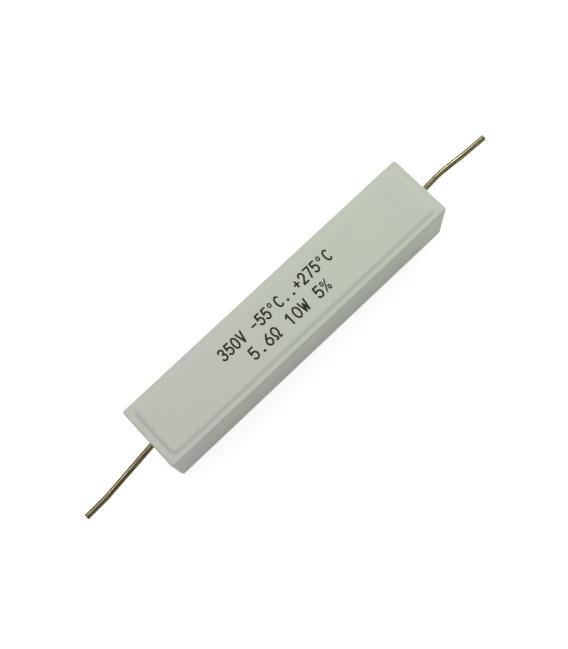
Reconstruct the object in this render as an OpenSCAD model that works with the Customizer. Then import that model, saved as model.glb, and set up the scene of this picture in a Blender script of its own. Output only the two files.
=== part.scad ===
// Cement power resistor: a wirewound element cast into a moulded ceramic case, with an axial lead at
// each end. The case lies on its open side, so the raised face that carries the rating is on top.
// X runs along the case, Y across it and Z up. The origin is the middle of the rim that it rests on.

/* [Ceramic case] */
// Length of the case along X
case_length = 48; // [38:0.5:75]
// Width of the case along Y
case_width = 9.6; // [8.8:0.1:14]
// Height from the open rim to the raised face
case_height = 9; // [8.4:0.1:13]
// Thickness of the two long walls
side_wall = 1.4; // [0.9:0.1:1.8]
// Thickness of the two end walls
end_wall = 1.6; // [1:0.1:2.2]
// Thickness of the closed face, measured at its raised part
face_thickness = 1.2; // [0.9:0.1:1.6]
// Radius of the four upright corners
corner_radius = 0.4; // [0.35:0.05:1.5]
// Rounding along the outer edge of the ledge
edge_radius = 0.25; // [0.1:0.05:0.35]
// Rounding along the outer edge of the open rim
rim_radius = 0.2; // [0.05:0.05:0.35]
// Radius of the upright corners of the cavity
cavity_corner_radius = 0.8; // [0.6:0.1:1.5]
// Rounding between the cavity's walls and its closed end
cavity_edge_radius = 0.4; // [0.1:0.05:0.5]

/* [Raised face] */
// Height of the raised face above the ledge around it
step_height = 0.25; // [0.1:0.05:0.4]
// Distance over which the ledge rises to the raised face
step_run = 0.8; // [0.4:0.05:1]
// Width of the ledge along the two long sides
side_ledge = 0.55; // [0.4:0.05:1.2]
// Width of the ledge at the two ends
end_ledge = 0.8; // [0.4:0.05:1.4]
// Radius of the raised face's corners at the foot of its slope
step_corner_radius = 1.2; // [1.1:0.1:2]

/* [Lead slots and cement] */
// Width of the slot that each lead leaves through
slot_width = 1.8; // [1.3:0.1:2.4]
// Depth of the cement's surface below the open rim
rim_recess = 0.25; // [0.1:0.05:0.6]
// Depth of the cement's surface inside each slot, from the end of the case
slot_recess = 0.15; // [0.05:0.05:0.5]
// Hairline between the cement and the element inside it
cast_gap = 0.02; // [0.01:0.01:0.05]

/* [Wirewound element] */
// Diameter of the core rod
core_diameter = 4.6; // [3.4:0.1:5.2]
// Cement between each end cap and the end wall
end_cover = 3; // [1.6:0.1:5]
// Chamfer at the ends of the core rod
core_chamfer = 0.2; // [0.1:0.05:0.4]
// Diameter of the resistance wire
wire_diameter = 0.35; // [0.2:0.05:0.5]
// Turns of the resistance wire
wire_turns = 32; // [16:1:36]
// Wall thickness of the end caps
cap_wall = 0.4; // [0.25:0.05:0.6]
// Length of core rod that each end cap covers
cap_cover = 4; // [2.5:0.5:6]
// Rounding at the closed end of the end caps
cap_edge_radius = 0.3; // [0.1:0.05:0.4]

/* [Leads] */
// Diameter of the lead wire
lead_diameter = 0.8; // [0.6:0.05:1]
// Reach of each lead past its end of the case
lead_reach = 12.2; // [10.5:0.1:35]
// Radius of the slight bends in the leads
bend_radius = 12; // [6:1:18]
// Diameter of the welded head on the end cap
weld_diameter = 1.7; // [1.2:0.1:2.4]
// Height of the welded head
weld_height = 0.5; // [0.3:0.1:0.8]
// Distance inside the end of the case at which a lead starts to bend
bend_depth = 0.7; // [0.4:0.1:2]
// Straight run of the left lead between its two bends
left_run = 7.7; // [5:0.1:10]
// Straight run of the right lead from its first bend to its second
right_inner_run = 3.5; // [1.5:0.1:4]
// Straight run of the right lead from its second bend to its third
right_outer_run = 3.3; // [2:0.1:4.5]

/* [Hidden] */
$fn = 64;
// Turns of each lead towards +Y in degrees, the first where it leaves the cement
left_turns = [-6.2, 4.3];
right_turns = [3, -7.8, 2.1];
// Each straight run of a lead reaches this far into the bends beside it
bend_lap = 0.02;
// Bends are this much thinner, so that they end inside the straight runs
bend_thinning = 0.002;

// Rings along one turn of the winding, and sides of its wire
rings_per_turn = 12;
wire_sides = 6;

ledge_height = case_height - step_height;
cavity_length = case_length - 2 * end_wall;
cavity_width = case_width - 2 * side_wall;
cavity_height = case_height - face_thickness;
step_length = case_length - 2 * end_ledge;
step_width = case_width - 2 * side_ledge;
// Depth to which the raised face is rooted in the closed face
step_root = (ledge_height - cavity_height) / 2;
// Radius of the two equal arcs that make the rise from the ledge
step_arc = (step_run * step_run + step_height * step_height) / (4 * step_height);

axis_height = case_height / 2;
core_length = cavity_length - 2 * (end_cover + cap_wall);
core_radius = core_diameter / 2;
wire_radius = wire_diameter / 2;
// Keeps the middle of each straight piece of the winding a hairline off the core
winding_radius = (core_radius + cast_gap) / cos(180 / rings_per_turn) + wire_radius;
crest_radius = winding_radius + wire_radius;
cap_radius = core_radius + cap_wall;
cap_rim_x = core_length / 2 - cap_cover;
cap_end_x = core_length / 2 + cap_wall;
winding_length = 2 * (cap_rim_x - wire_radius - cast_gap);

lead_tip_x = case_length / 2 + lead_reach;
exit_run = case_length / 2 - bend_depth - cap_end_x;
// Each straight run of a lead with the turn that ends it
left_route = [[exit_run, left_turns[0]], [left_run, left_turns[1]]];
right_route = [
    [exit_run, right_turns[0]], [right_inner_run, right_turns[1]], [right_outer_run, right_turns[2]]
];

// Overlap that lets a cut pass clear of a face
cut = 1;

// Direction of a lead after its first n bends, in degrees from X
function heading(route, n) = n == 0 ? 0 : heading(route, n - 1) + route[n - 1][1];

// Distance along X that one bend covers
function bend_advance(from, turn) = bend_radius * sign(turn) * (sin(from + turn) - sin(from));

// Distance along X to the end of the first n runs and bends
function advance(route, n) =
    n == 0 ? 0
    : advance(route, n - 1) + route[n - 1][0] * cos(heading(route, n - 1))
        + bend_advance(heading(route, n - 1), route[n - 1][1]);

// Straight run after the last bend, which brings the tip to its full reach
function last_run(route) =
    (lead_tip_x - cap_end_x - advance(route, len(route))) / cos(heading(route, len(route)));

// Rectangle on the X axis with rounded upper corners, and rounded lower ones where rim is given
module rounded_section(width, height, edge, rim = 0) {
    translate([-width / 2, rim])
        square([width, height - edge - rim]);
    translate([edge - width / 2, rim])
        square([width - 2 * edge, height - rim]);
    for (side = [-1, 1])
        translate([side * (width / 2 - edge), height - edge])
            circle(edge);
    if (rim > 0) {
        translate([rim - width / 2, 0])
            square([width - 2 * rim, height / 2]);
        for (side = [-1, 1])
            translate([side * (width / 2 - rim), rim])
                circle(rim);
    }
}

// Right half of the rise from the ledge, with its foot at half the width
module half_step(width) {
    foot = width / 2;
    translate([0, -step_root])
        square([foot, step_root]);
    square([foot - step_run, step_height]);
    intersection() {
        translate([foot - step_run, 0])
            square([step_run / 2, step_height]);
        translate([foot - step_run, step_height - step_arc])
            circle(step_arc);
    }
    difference() {
        translate([foot - step_run / 2, 0])
            square([step_run / 2, step_height / 2]);
        translate([foot, step_arc])
            circle(step_arc);
    }
}

module step_section(width) {
    for (side = [0, 1])
        mirror([side, 0])
            half_step(width);
}

// Extrudes a section along X or Y, centred, with the section's own height along Z
module along_x(length) {
    rotate([90, 0, 90])
        linear_extrude(length, center = true)
            children();
}

module along_y(length) {
    rotate([90, 0, 0])
        linear_extrude(length, center = true)
            children();
}

module at_corners(length, width, corner) {
    for (x = [-1, 1], y = [-1, 1])
        translate([x * (length / 2 - corner), y * (width / 2 - corner), 0])
            children();
}

// Round post with the edges of a rounded section
module rounded_post(radius, height, edge, rim = 0) {
    rotate_extrude()
        intersection() {
            rounded_section(2 * radius, height, edge, rim);
            square([radius, height]);
        }
}

// Block with round upright corners and the edges of a rounded section
module rounded_block(length, width, height, corner, edge, rim = 0) {
    along_x(length - 2 * corner)
        rounded_section(width, height, edge, rim);
    along_y(width - 2 * corner)
        rounded_section(length, height, edge, rim);
    at_corners(length, width, corner)
        rounded_post(corner, height, edge, rim);
}

module raised_face() {
    translate([0, 0, ledge_height]) {
        along_x(step_length - 2 * step_corner_radius)
            step_section(step_width);
        along_y(step_width - 2 * step_corner_radius)
            step_section(step_length);
        at_corners(step_length, step_width, step_corner_radius)
            rotate_extrude()
                half_step(2 * step_corner_radius);
    }
}

// Space inside the case, from a level at or below the rim up to the closed face
module cavity(base) {
    translate([0, 0, base])
        rounded_block(
            cavity_length, cavity_width, cavity_height - base, cavity_corner_radius, cavity_edge_radius
        );
}

// Slots with a round upper end on the lead's axis, which run out through both end walls
module lead_slots(length, base) {
    along_x(length) {
        translate([-slot_width / 2, base])
            square([slot_width, axis_height - base]);
        translate([0, axis_height])
            circle(d = slot_width);
    }
}

// Welded head and the straight run of lead that follows it, turned about X
module welded_run(radius, run, grow) {
    head = weld_diameter / 2 + grow;
    rotate([0, 90, 0])
        rotate_extrude()
            polygon([[0, 0], [head, 0], [radius, weld_height + grow], [radius, run], [0, run]]);
}

// Bend of a lead in the XY plane, which starts along X
module lead_bend(radius, turn) {
    mirror([0, turn < 0 ? 1 : 0, 0])
        translate([0, bend_radius, 0])
            rotate([0, 0, -90])
                rotate_extrude(angle = abs(turn))
                    translate([bend_radius, 0])
                        circle(radius - bend_thinning);
}

// Runs and bends of a lead from one step of its route to its tip
module lead_from(step, route, radius, grow) {
    last = step == len(route);
    run = last ? last_run(route) : route[step][0];
    if (step == 0)
        welded_run(radius, run + bend_lap, grow);
    else
        translate([-bend_lap, 0, 0])
            rotate([0, 90, 0])
                cylinder(r = radius, h = run + (last ? 1 : 2) * bend_lap);
    if (!last) {
        turn = route[step][1];
        translate([run, 0, 0]) {
            lead_bend(radius, turn);
            translate([bend_advance(0, turn), sign(turn) * bend_radius * (1 - cos(turn)), 0])
                rotate([0, 0, turn])
                    lead_from(step + 1, route, radius, grow);
        }
    }
}

// Lead from the right end cap outwards, at its own size or grown all round
module lead_shape(route, grow = 0) {
    translate([cap_end_x, 0, axis_height])
        lead_from(0, route, lead_diameter / 2 + grow, grow);
}

module end_cap() {
    translate([0, 0, axis_height])
        rotate([0, 90, 0])
            difference() {
                translate([0, 0, cap_rim_x])
                    rounded_post(cap_radius, cap_end_x - cap_rim_x, cap_edge_radius);
                translate([0, 0, cap_rim_x - cut])
                    cylinder(r = core_radius, h = cap_cover + cut);
            }
}

// Room that the element takes up inside the cement
module element_space() {
    translate([0, 0, axis_height])
        rotate([0, 90, 0]) {
            cylinder(r = crest_radius + cast_gap, h = 2 * cap_rim_x, center = true);
            cylinder(r = cap_radius + cast_gap, h = 2 * (cap_end_x + cast_gap), center = true);
        }
    lead_shape(right_route, cast_gap);
    mirror([1, 0, 0])
        lead_shape(left_route, cast_gap);
}

module ceramic_case() {
    color([0.84, 0.86, 0.83])
        difference() {
            union() {
                rounded_block(
                    case_length, case_width, ledge_height, corner_radius, edge_radius, rim_radius
                );
                raised_face();
            }
            cavity(-cut);
            lead_slots(case_length + 2 * cut, -cut);
        }
}

module cement_fill() {
    color([0.74, 0.73, 0.69])
        difference() {
            union() {
                cavity(rim_recess);
                lead_slots(case_length - 2 * slot_recess, rim_recess);
            }
            element_space();
        }
}

module core_rod() {
    color([0.9, 0.89, 0.84])
        translate([0, 0, axis_height])
            rotate([0, 90, 0]) {
                cylinder(r = core_radius, h = core_length - 2 * core_chamfer, center = true);
                for (side = [0, 1])
                    mirror([0, 0, side])
                        translate([0, 0, core_length / 2 - core_chamfer])
                            cylinder(r1 = core_radius, r2 = core_radius - core_chamfer, h = core_chamfer);
            }
}

// Corner j of the wire's section at ring i of the winding
function winding_point(i, j) =
    let (
        around = i * 360 / rings_per_turn,
        within = j * 360 / wire_sides,
        radius = winding_radius - wire_radius * cos(within),
        along = winding_length * (i / (wire_turns * rings_per_turn) - 0.5)
    )
    [along + wire_radius * sin(within), radius * cos(around), axis_height + radius * sin(around)];

module resistance_winding() {
    rings = wire_turns * rings_per_turn;
    points = [for (i = [0 : rings], j = [0 : wire_sides - 1]) winding_point(i, j)];
    skin = [
        for (i = [0 : rings - 1], j = [0 : wire_sides - 1])
            let (a = i * wire_sides + j, b = i * wire_sides + (j + 1) % wire_sides)
            each [[a, a + wire_sides, b + wire_sides], [a, b + wire_sides, b]]
    ];
    first_end = [for (j = [0 : wire_sides - 1]) j];
    last_end = [for (j = [wire_sides - 1 : -1 : 0]) rings * wire_sides + j];
    color([0.56, 0.54, 0.51])
        polyhedron(points, concat(skin, [first_end, last_end]));
}

module left_end_cap() {
    color([0.72, 0.72, 0.7])
        mirror([1, 0, 0])
            end_cap();
}

module right_end_cap() {
    color([0.72, 0.72, 0.7])
        end_cap();
}

module left_lead() {
    color([0.72, 0.6, 0.32])
        mirror([1, 0, 0])
            lead_shape(left_route);
}

module right_lead() {
    color([0.72, 0.6, 0.32])
        lead_shape(right_route);
}

ceramic_case();
cement_fill();
core_rod();
resistance_winding();
left_end_cap();
right_end_cap();
left_lead();
right_lead();
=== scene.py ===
import math

import bmesh
import bpy
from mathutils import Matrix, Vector
from mathutils.geometry import delaunay_2d_cdt


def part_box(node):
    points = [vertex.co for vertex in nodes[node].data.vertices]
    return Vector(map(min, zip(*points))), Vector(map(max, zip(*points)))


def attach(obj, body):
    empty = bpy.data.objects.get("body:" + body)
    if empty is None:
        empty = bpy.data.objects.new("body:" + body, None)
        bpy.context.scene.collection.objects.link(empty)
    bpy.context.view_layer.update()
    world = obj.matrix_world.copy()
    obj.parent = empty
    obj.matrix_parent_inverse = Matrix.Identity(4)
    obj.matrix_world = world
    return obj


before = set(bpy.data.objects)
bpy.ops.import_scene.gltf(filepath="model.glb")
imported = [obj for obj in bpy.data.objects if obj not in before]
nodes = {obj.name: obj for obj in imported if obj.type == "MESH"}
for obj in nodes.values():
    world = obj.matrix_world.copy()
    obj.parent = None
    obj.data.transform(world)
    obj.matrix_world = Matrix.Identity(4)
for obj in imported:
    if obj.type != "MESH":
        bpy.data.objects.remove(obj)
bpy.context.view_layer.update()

# Lengths are in millimetres unless a name says otherwise
MM = 0.001
face_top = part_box("ceramic_case")[1].z / MM

# Camera: place, turn about X, Y and Z, lens on a 36 mm sensor along the long side, nearest distance seen
CAMERA_PLACE = (-18.918, -29.564, 137.251)
CAMERA_TURN_DEG = (14.134, 3.125, -43.541)
CAMERA_LENS = 58.243
CAMERA_NEAREST = 10

# Light: an even sky, and soft panels that face the part
SKY_COLOUR = (0.97, 1.0, 1.0)
SKY_STRENGTH = 0.468
WHITE = (1, 1, 1, 1)
WARM_WHITE = (1.0, 0.99, 0.96)
COOL_WHITE = (0.9, 0.97, 1.0)
# Two far panels, one for each lead, a near one for the right lead, and a cooler one, width before height
PANELS = {
    "far_left": {"place": (-78, 225, 380), "size": (60, 120), "power_w": 0.365, "colour": WARM_WHITE},
    "far_right": {"place": (195, 225, 380), "size": (60, 110), "power_w": 0.74, "colour": WARM_WHITE},
    "near_right": {"place": (170, -330, 190), "size": (120, 200), "power_w": 0.125, "colour": WARM_WHITE},
    "right": {"place": (400, 110, 250), "size": (200, 200), "power_w": 0.34, "colour": COOL_WHITE},
}

# Floor: a hair under the part, with its own shade and a lift to white where it is seen
FLOOR_SIDE = 6000
FLOOR_WHITE = 0.6
FLOOR_SEEN_WHITE = 0.98
FLOOR_LIFT = 0.55
FLOOR_DROP = 0.02

# Printed rating: two lines of plain numbers and units, in films that sink a little into the face
INK_STROKE = 0.26
INK_FILM = 0.012
INK_SINK = 0.004
# Places are measured from the middle of the case, and a line climbs by rise for each millimetre
UPPER_LINE = {
    "text": "350V -55°C..+275°C", "start": -10.45, "base": 0.31, "height": 1.76,
    "pitch": 1.085, "rise": 0.018,
}
LOWER_LINE = {
    "text": "5.6Ω 10W 5%", "start": -7.55, "base": -2.28, "height": 1.79,
    "pitch": 1.26, "rise": 0.01,
}
# Width of a sign as a share of the pitch, and facets of a stroke's round end
GLYPH_WIDTH = 0.68
CAP_STEPS = 6
# Signs that are drawn with a finer pen, and its share of the stroke
FINE_SIGNS = "%°"
FINE_SHARE = 0.7
# Triangulation of the strokes: all of their hull, with points this close merged
WHOLE_HULL = 0
MERGE_DISTANCE = 1e-4

# Colour sockets of a mix node
MIX_FIRST = 6
MIX_SECOND = 7
MIX_RESULT = 2


def node_material(name, roughness, metallic=0.0):
    """New node material, with its tree and its Principled shader."""
    material = bpy.data.materials.new(name)
    material.use_nodes = True
    tree = material.node_tree
    shader = tree.nodes["Principled BSDF"]
    shader.inputs["Roughness"].default_value = roughness
    shader.inputs["Metallic"].default_value = metallic
    return material, tree, shader


def surface_point(tree, stretch=(1, 1, 1)):
    """Point on the object in millimetres, stretched along its axes."""
    source = tree.nodes.new("ShaderNodeTexCoord")
    mapping = tree.nodes.new("ShaderNodeMapping")
    mapping.inputs["Scale"].default_value = [s / MM for s in stretch]
    tree.links.new(source.outputs["Object"], mapping.inputs["Vector"])
    return mapping.outputs["Vector"]


def noise(tree, where, grain, detail=3.0, roughness=0.5):
    """Noise whose features are about grain millimetres across."""
    texture = tree.nodes.new("ShaderNodeTexNoise")
    texture.inputs["Scale"].default_value = 1 / grain
    texture.inputs["Detail"].default_value = detail
    texture.inputs["Roughness"].default_value = roughness
    tree.links.new(where, texture.inputs["Vector"])
    return texture.outputs["Fac"]


def ramp(tree, value, low, high, start, end):
    """Value between low and high, spread over start to end."""
    spread = tree.nodes.new("ShaderNodeMapRange")
    for name, number in (("From Min", low), ("From Max", high), ("To Min", start), ("To Max", end)):
        spread.inputs[name].default_value = number
    tree.links.new(value, spread.inputs["Value"])
    return spread.outputs["Result"]


def blend(tree, share, first, second):
    """Mix of two colours, each a fixed colour or the output of a node."""
    mix = tree.nodes.new("ShaderNodeMix")
    mix.data_type = "RGBA"
    tree.links.new(share, mix.inputs["Factor"])
    for socket, colour in ((mix.inputs[MIX_FIRST], first), (mix.inputs[MIX_SECOND], second)):
        if isinstance(colour, tuple):
            socket.default_value = (*colour, 1)
        else:
            tree.links.new(colour, socket)
    return mix.outputs[MIX_RESULT]


def bump(tree, shader, height, strength, depth):
    """Relief of depth millimetres on the shader's surface."""
    relief = tree.nodes.new("ShaderNodeBump")
    relief.inputs["Strength"].default_value = strength
    relief.inputs["Distance"].default_value = depth * MM
    tree.links.new(height, relief.inputs["Height"])
    tree.links.new(relief.outputs["Normal"], shader.inputs["Normal"])


def ceramic_finish():
    """Unglazed pressed ceramic: pale grey, greener to the right, cloudy and grained, with a few specks."""
    material, tree, shader = node_material("case_ceramic", roughness=0.5)
    green = (0.483, 0.531, 0.434)
    neutral = (0.498, 0.495, 0.452)
    dark_grain = (0.38, 0.40, 0.36)
    dark_speck = (0.2, 0.19, 0.16)
    where = surface_point(tree)
    parts = tree.nodes.new("ShaderNodeSeparateXYZ")
    tree.links.new(where, parts.inputs["Vector"])
    leftward = ramp(tree, parts.outputs["X"], low=-16, high=10, start=0.75, end=0)
    fired = blend(tree, leftward, green, neutral)
    cloud = ramp(tree, noise(tree, where, grain=6, detail=2), low=0.35, high=0.65, start=0, end=0.5)
    clouded = blend(tree, cloud, fired, neutral)
    grain = noise(tree, where, grain=0.12, detail=4, roughness=0.7)
    grained = blend(tree, ramp(tree, grain, low=0.3, high=0.7, start=0, end=0.1), clouded, dark_grain)
    speck = ramp(tree, noise(tree, where, grain=0.7, detail=0), low=0.09, high=0.07, start=0, end=0.35)
    tree.links.new(blend(tree, speck, grained, dark_speck), shader.inputs["Base Color"])
    roughness = ramp(tree, grain, low=0.3, high=0.7, start=0.52, end=0.66)
    tree.links.new(roughness, shader.inputs["Roughness"])
    bump(tree, shader, grain, strength=0.35, depth=0.02)
    return material


def cement_finish():
    """Cast cement: matt, sandy and pitted."""
    material, tree, shader = node_material("cement", roughness=0.85)
    dark_sand = (0.40, 0.39, 0.35)
    pale_sand = (0.56, 0.55, 0.50)
    sand = noise(tree, surface_point(tree), grain=0.25, detail=6, roughness=0.75)
    colour = blend(tree, ramp(tree, sand, low=0.3, high=0.7, start=0, end=1), dark_sand, pale_sand)
    tree.links.new(colour, shader.inputs["Base Color"])
    bump(tree, shader, sand, strength=0.8, depth=0.12)
    return material


def rod_finish():
    """Fired ceramic rod: chalky white with faint streaks along it from its extrusion."""
    material, tree, shader = node_material("core_ceramic", roughness=0.7)
    chalk = (0.74, 0.73, 0.68)
    pale_chalk = (0.82, 0.81, 0.77)
    streak = noise(tree, surface_point(tree, stretch=(0.2, 1, 1)), grain=0.4, detail=3)
    colour = blend(tree, ramp(tree, streak, low=0.3, high=0.7, start=0, end=1), chalk, pale_chalk)
    tree.links.new(colour, shader.inputs["Base Color"])
    bump(tree, shader, streak, strength=0.3, depth=0.03)
    return material


def metal_finish(name, dull, bright, rough, smooth, grain, stretch, rim=(1, 1, 1)):
    """Drawn or pressed metal with toning and fine marks along one direction. Rim tints grazing views."""
    material, tree, shader = node_material(name, roughness=smooth, metallic=1.0)
    shader.inputs["Specular Tint"].default_value = (*rim, 1)
    marks = noise(tree, surface_point(tree, stretch), grain, detail=4, roughness=0.6)
    toning = noise(tree, surface_point(tree), grain=1.6, detail=3, roughness=0.6)
    streaked = blend(tree, ramp(tree, marks, low=0.35, high=0.65, start=0, end=1), dull, bright)
    toned = blend(tree, ramp(tree, toning, low=0.3, high=0.7, start=0, end=0.5), streaked, dull)
    tree.links.new(toned, shader.inputs["Base Color"])
    roughness = ramp(tree, marks, low=0.3, high=0.7, start=smooth, end=rough)
    tree.links.new(roughness, shader.inputs["Roughness"])
    bump(tree, shader, marks, strength=0.25, depth=0.01)
    return material


def wire_finish():
    """Nickel-chromium resistance wire: grey and rather dull."""
    return metal_finish(
        "resistance_wire", dull=(0.36, 0.34, 0.31), bright=(0.52, 0.5, 0.47),
        rough=0.5, smooth=0.3, grain=0.2, stretch=(1, 1, 1),
    )


def cap_finish():
    """Pressed caps: pale steel with marks round the rod."""
    return metal_finish(
        "cap_metal", dull=(0.5, 0.5, 0.48), bright=(0.66, 0.66, 0.64),
        rough=0.45, smooth=0.25, grain=0.3, stretch=(1, 0.3, 0.3),
    )


def lead_finish():
    """Drawn lead wire: smooth, dark and brassy, with long marks along it."""
    return metal_finish(
        "lead_metal", dull=(0.052, 0.0442, 0.0215), bright=(0.1333, 0.1196, 0.0735),
        rough=0.15, smooth=0.09, grain=0.12, stretch=(0.03, 1, 1), rim=(0.75, 0.66, 0.45),
    )


def ink_finish():
    """Printed ink: soft black that is a little thin in places."""
    material, tree, shader = node_material("print_ink", roughness=0.6)
    full = (0.012, 0.012, 0.01)
    faded = (0.1, 0.105, 0.095)
    shader.inputs["Specular IOR Level"].default_value = 0.15
    patches = noise(tree, surface_point(tree), grain=0.16, detail=3, roughness=0.6)
    thin = ramp(tree, patches, low=0.5, high=0.85, start=0, end=0.5)
    tree.links.new(blend(tree, thin, full, faded), shader.inputs["Base Color"])
    return material


def dress(finish, *names):
    """Gives CAD nodes one finish."""
    for name in names:
        nodes[name].data.materials.clear()
        nodes[name].data.materials.append(finish)


def arc(x, y, rx, ry, start, end, steps=14):
    """Points on an ellipse from one angle to another, in degrees."""
    angles = [math.radians(start + (end - start) * i / steps) for i in range(steps + 1)]
    return [(x + rx * math.cos(a), y + ry * math.sin(a)) for a in angles]


# Strokes of each sign in a box one unit wide and one unit high
GLYPHS = {
    "0": [arc(0.5, 0.5, 0.5, 0.5, 0, 360, 24)],
    "1": [[(0.12, 0.76), (0.55, 1), (0.55, 0)]],
    "2": [arc(0.5, 0.7, 0.46, 0.3, 170, -35) + [(0.02, 0), (1, 0)]],
    "3": [arc(0.46, 0.76, 0.44, 0.24, 160, -90) + arc(0.46, 0.26, 0.5, 0.26, 90, -160)],
    "5": [[(0.92, 1), (0.16, 1), (0.08, 0.55)] + arc(0.48, 0.32, 0.5, 0.32, 135, -150)],
    "6": [[(0.78, 1), (0.3, 0.68)] + arc(0.5, 0.31, 0.48, 0.31, 140, 500, 24)],
    "7": [[(0, 1), (1, 1), (0.36, 0)]],
    "V": [[(0, 1), (0.5, 0), (1, 1)]],
    "W": [[(-0.06, 1), (0.24, 0), (0.5, 0.72), (0.76, 0), (1.06, 1)]],
    "C": [arc(0.54, 0.5, 0.52, 0.5, 48, 312, 20)],
    "Ω": [
        [(0, 0), (0.3, 0), (0.3, 0.16)] + arc(0.5, 0.6, 0.48, 0.4, 238, -58, 22) + [(0.7, 0), (1, 0)],
    ],
    "%": [[(0.96, 1), (0.04, 0)], arc(0.16, 0.8, 0.2, 0.19, 0, 360), arc(0.84, 0.2, 0.2, 0.19, 0, 360)],
    "°": [arc(0.4, 0.82, 0.28, 0.18, 0, 360)],
    "+": [[(0.05, 0.48), (0.95, 0.48)], [(0.5, 0.2), (0.5, 0.76)]],
    "-": [[(0.1, 0.48), (0.9, 0.48)]],
    ".": [arc(0.5, 0.05, 0.08, 0.04, 0, 360, 8)],
}


def capsule(start, end, radius):
    """Outline of a straight stroke with round ends."""
    along = math.atan2(end[1] - start[1], end[0] - start[0])
    outline = []
    for centre, first in ((end, along - math.pi / 2), (start, along + math.pi / 2)):
        for i in range(CAP_STEPS + 1):
            angle = first + math.pi * i / CAP_STEPS
            outline.append((centre[0] + radius * math.cos(angle), centre[1] + radius * math.sin(angle)))
    return outline


def line_strokes(text, start, base, height, pitch, rise):
    """Outlines of the straight strokes of one printed line."""
    radius = INK_STROKE / 2
    width = pitch * GLYPH_WIDTH
    for position, sign in enumerate(text):
        left = start + pitch * position + radius
        foot = base + rise * pitch * position + radius
        pen = radius * FINE_SHARE if sign in FINE_SIGNS else radius
        for stroke in GLYPHS.get(sign, []):
            points = [(left + x * width, foot + y * (height - 2 * radius)) for x, y in stroke]
            for first, second in zip(points, points[1:]):
                yield capsule(first, second, pen)


def printed_line(name, line, finish):
    """Thin film of ink in the shape of one line, as one closed surface without overlaps."""
    points = []
    outlines = []
    for outline in line_strokes(**line):
        outlines.append(list(range(len(points), len(points) + len(outline))))
        points.extend(Vector(p) for p in outline)
    flat, _, faces, _, _, sources = delaunay_2d_cdt(
        points, [], outlines, WHOLE_HULL, MERGE_DISTANCE
    )
    film = bmesh.new()
    corners = [film.verts.new((p.x * MM, p.y * MM, (face_top - INK_SINK) * MM)) for p in flat]
    for face, source in zip(faces, sources):
        if source:
            film.faces.new([corners[i] for i in face])
    bmesh.ops.delete(film, geom=[v for v in film.verts if not v.link_faces], context="VERTS")
    bmesh.ops.recalc_face_normals(film, faces=film.faces)
    raised = bmesh.ops.extrude_face_region(film, geom=film.faces[:], use_keep_orig=True)
    lifted = [v for v in raised["geom"] if isinstance(v, bmesh.types.BMVert)]
    bmesh.ops.translate(film, verts=lifted, vec=(0, 0, INK_FILM * MM))
    bmesh.ops.recalc_face_normals(film, faces=film.faces)
    mesh = bpy.data.meshes.new(name)
    film.to_mesh(mesh)
    film.free()
    mesh.materials.append(finish)
    piece = bpy.data.objects.new(name, mesh)
    bpy.context.collection.objects.link(piece)
    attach(piece, "root")


def add_camera():
    """Camera above the part, looking down at it."""
    data = bpy.data.cameras.new("camera")
    data.lens = CAMERA_LENS
    data.clip_start = CAMERA_NEAREST * MM
    camera = bpy.data.objects.new("camera", data)
    camera.location = Vector(CAMERA_PLACE) * MM
    camera.rotation_euler = [math.radians(a) for a in CAMERA_TURN_DEG]
    bpy.context.collection.objects.link(camera)
    bpy.context.scene.camera = camera


def seen_share(tree):
    """One for rays from the camera, from gloss and through glass, which see the plain background."""
    path = tree.nodes.new("ShaderNodeLightPath")
    total = path.outputs["Is Camera Ray"]
    for name in ("Is Glossy Ray", "Is Transmission Ray"):
        either = tree.nodes.new("ShaderNodeMath")
        either.operation = "MAXIMUM"
        tree.links.new(total, either.inputs[0])
        tree.links.new(path.outputs[name], either.inputs[1])
        total = either.outputs[0]
    return total


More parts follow.
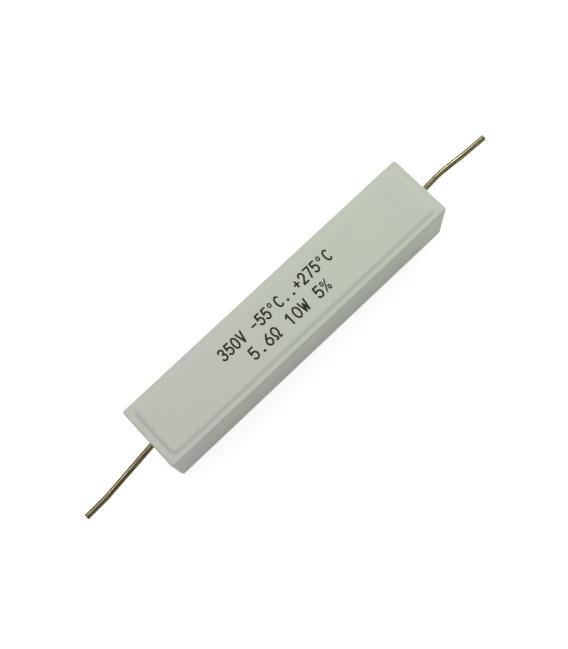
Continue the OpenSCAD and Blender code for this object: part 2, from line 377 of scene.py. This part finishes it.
def add_sky():
    """Even light from all round, behind which the background is white."""
    world = bpy.data.worlds.new("sky")
    bpy.context.scene.world = world
    world.use_nodes = True
    tree = world.node_tree
    light = tree.nodes["Background"]
    light.inputs["Color"].default_value = (*SKY_COLOUR, 1)
    light.inputs["Strength"].default_value = SKY_STRENGTH
    white = tree.nodes.new("ShaderNodeBackground")
    white.inputs["Color"].default_value = WHITE
    mix = tree.nodes.new("ShaderNodeMixShader")
    tree.links.new(seen_share(tree), mix.inputs["Fac"])
    tree.links.new(light.outputs["Background"], mix.inputs[1])
    tree.links.new(white.outputs["Background"], mix.inputs[2])
    tree.links.new(mix.outputs["Shader"], tree.nodes["World Output"].inputs["Surface"])


def add_panel(name, place, size, power_w, colour):
    """Soft rectangular lamp that faces the object, with its width level."""
    data = bpy.data.lights.new(name, "AREA")
    data.shape = "RECTANGLE"
    data.size, data.size_y = [side * MM for side in size]
    data.energy = power_w
    data.color = colour
    panel = bpy.data.objects.new(name, data)
    panel.location = Vector(place) * MM
    panel.rotation_euler = Vector(place).to_track_quat("Z", "Y").to_euler()
    bpy.context.collection.objects.link(panel)


def add_floor():
    """White floor that keeps the shadow, lifted to white where it is seen."""
    material, tree, shader = node_material("floor", roughness=0.9)
    shader.inputs["Specular IOR Level"].default_value = 0
    seen = seen_share(tree)
    shade = ramp(tree, seen, low=0, high=1, start=FLOOR_WHITE, end=FLOOR_SEEN_WHITE)
    tree.links.new(shade, shader.inputs["Base Color"])
    lift = ramp(tree, seen, low=0, high=1, start=0, end=FLOOR_LIFT)
    shader.inputs["Emission Color"].default_value = WHITE
    tree.links.new(lift, shader.inputs["Emission Strength"])
    half = FLOOR_SIDE / 2 * MM
    mesh = bpy.data.meshes.new("floor")
    level = -FLOOR_DROP * MM
    corners = [(x * half, y * half, level) for x, y in ((-1, -1), (1, -1), (1, 1), (-1, 1))]
    mesh.from_pydata(corners, [], [(0, 1, 2, 3)])
    mesh.materials.append(material)
    floor = bpy.data.objects.new("floor", mesh)
    bpy.context.collection.objects.link(floor)


add_camera()
add_sky()
for panel_name, panel in PANELS.items():
    add_panel(panel_name, **panel)
add_floor()
dress(ceramic_finish(), "ceramic_case")
dress(cement_finish(), "cement_fill")
dress(rod_finish(), "core_rod")
dress(wire_finish(), "resistance_winding")
dress(cap_finish(), "left_end_cap", "right_end_cap")
dress(lead_finish(), "left_lead", "right_lead")
ink = ink_finish()
printed_line("printed_rating_upper", UPPER_LINE, ink)
printed_line("printed_rating_lower", LOWER_LINE, ink)

view = bpy.context.scene.view_settings
view.view_transform = "Standard"
